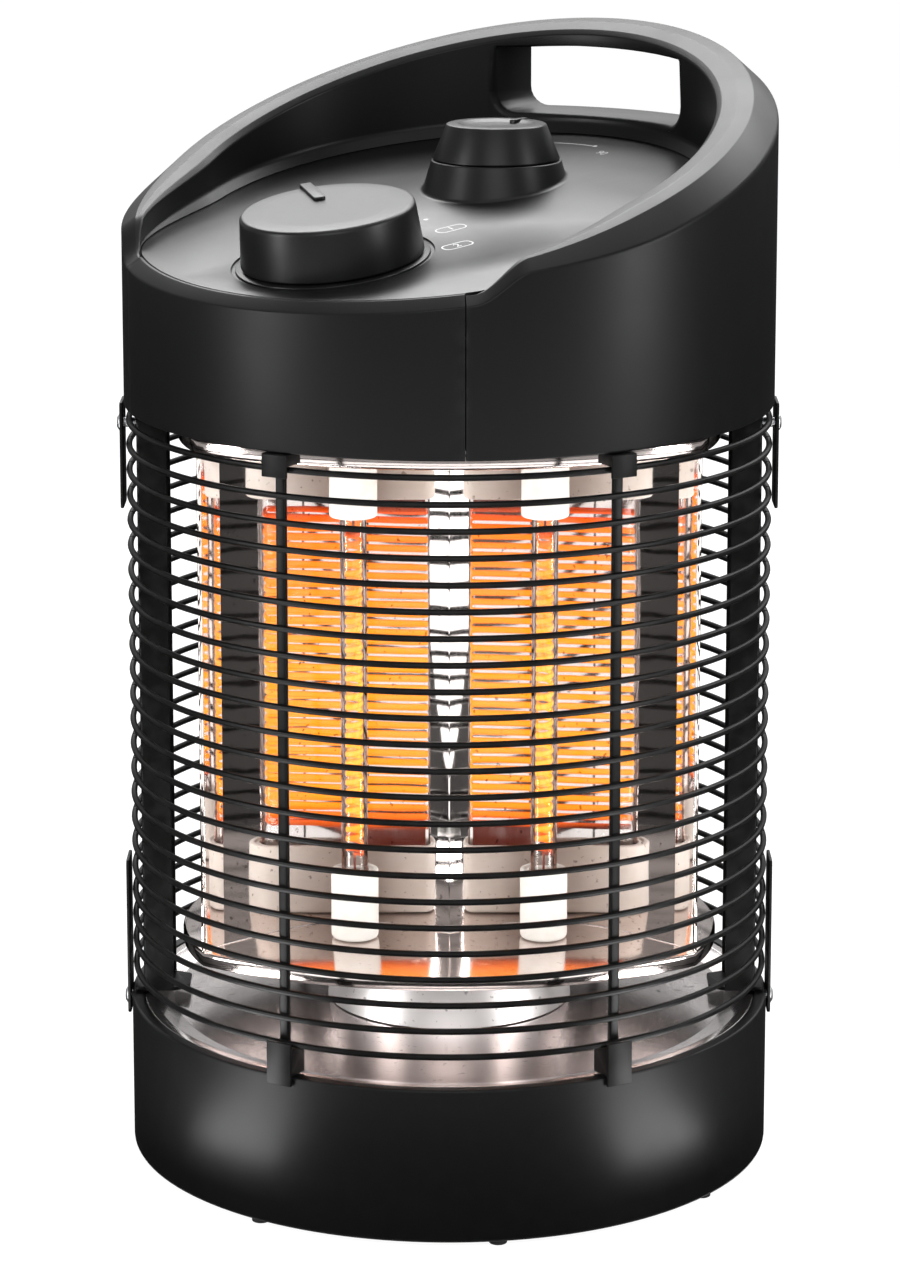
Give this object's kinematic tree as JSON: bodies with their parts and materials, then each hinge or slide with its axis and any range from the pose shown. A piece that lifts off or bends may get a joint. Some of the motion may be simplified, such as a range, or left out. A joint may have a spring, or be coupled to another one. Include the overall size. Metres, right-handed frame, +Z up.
{
  "type": "patio heater",
  "caption": "Upright round quartz-tube heater: wire guard round a turning reflector, black base, sloping control panel with knobs, and a high collar with a carrying handle.",
  "frame": {"origin": "centre of the feet's lower faces, on the axis of the housing", "axes": "+Z up; -Y is the front, where the control panel is lowest; +X is on the right as seen from the front"},
  "size_m": [0.24, 0.2426, 0.4168],
  "materials": {
    "black_plastic": "satin black",
    "satin_plastic": "satin black, a little lighter",
    "black_paint": "satin black paint",
    "rubber": "matt black",
    "polished_metal": "polished to a mirror",
    "plain_steel": "plain zinc-plated steel",
    "quartz": "clear quartz",
    "glowing_wire": "resistance wire, glowing orange",
    "ceramic": "unglazed white",
    "switch_body": "moulded dark grey",
    "acetal": "moulded off-white",
    "pale_print": "printed pale grey marks"
  },
  "bodies": {
    "base": {"base_housing": "black_plastic", "base_pan": "polished_metal", "base_plate": "plain_steel", "bracket_screw_lower_left": "plain_steel", "bracket_screw_lower_right": "plain_steel", "bracket_screw_upper_left": "plain_steel", "bracket_screw_upper_right": "plain_steel", "control_panel": "satin_plastic", "cord_gland": "rubber", "foot_1": "rubber", "foot_2": "rubber", "foot_3": "rubber", "foot_4": "rubber", "foot_5": "rubber", "foot_6": "rubber", "foot_7": "rubber", "foot_8": "rubber", "front_cover": "black_plastic", "guard_bracket_lower_left": "black_paint", "guard_bracket_lower_right": "black_paint", "guard_bracket_upper_left": "black_paint", "guard_bracket_upper_right": "black_paint", "guard_clip_lower_1": "black_paint", "guard_clip_lower_2": "black_paint", "guard_clip_lower_3": "black_paint", "guard_clip_lower_4": "black_paint", "guard_clip_upper_1": "black_paint", "guard_clip_upper_2": "black_paint", "guard_clip_upper_3": "black_paint", "guard_clip_upper_4": "black_paint", "guard_front": "black_paint", "guard_rear": "black_paint", "hub_bush": "acetal", "pedestal": "polished_metal", "rear_shell": "black_plastic", "rotary_switch": "switch_body", "side_post_left": "black_paint", "side_post_right": "black_paint", "terminal_block": "acetal", "tilt_switch": "switch_body", "top_plate": "plain_steel"},
    "power_knob": {"power_knob": "satin_plastic", "switch_shaft": "plain_steel"},
    "direction_knob": {"direction_knob": "satin_plastic", "knob_shaft": "plain_steel", "knob_gear": "acetal"},
    "lamp_unit": {"lower_disc": "polished_metal", "upper_disc": "polished_metal", "reflector": "polished_metal", "quartz_tube_left": "quartz", "quartz_tube_right": "quartz", "heating_coil_left": "glowing_wire", "heating_coil_right": "glowing_wire", "ceramic_cap_lower_left": "ceramic", "ceramic_cap_lower_right": "ceramic", "ceramic_cap_upper_left": "ceramic", "ceramic_cap_upper_right": "ceramic", "hub_shaft": "plain_steel", "hub_gear": "acetal"}
  },
  "joints": [
    {"name": "power_knob_turn", "type": "hinge", "parent": "base", "child": "power_knob", "pos_m": [0, -0.0696, 0.34547], "axis": [0, -0.1676, 0.9859], "range_deg": [-120, 0]},
    {"name": "direction_knob_turn", "type": "hinge", "parent": "base", "child": "direction_knob", "pos_m": [0, 0.0295, 0.29], "axis": [0, 0, 1], "range_deg": [-180, 180]},
    {"name": "lamp_unit_turn", "type": "hinge", "parent": "base", "child": "lamp_unit", "pos_m": [0, 0, 0.084], "axis": [0, 0, 1], "range_deg": [-180, 180]}
  ],
  "couplings": [
    {"joint": "lamp_unit_turn", "follows": "direction_knob_turn", "ratio": -1}
  ]
}
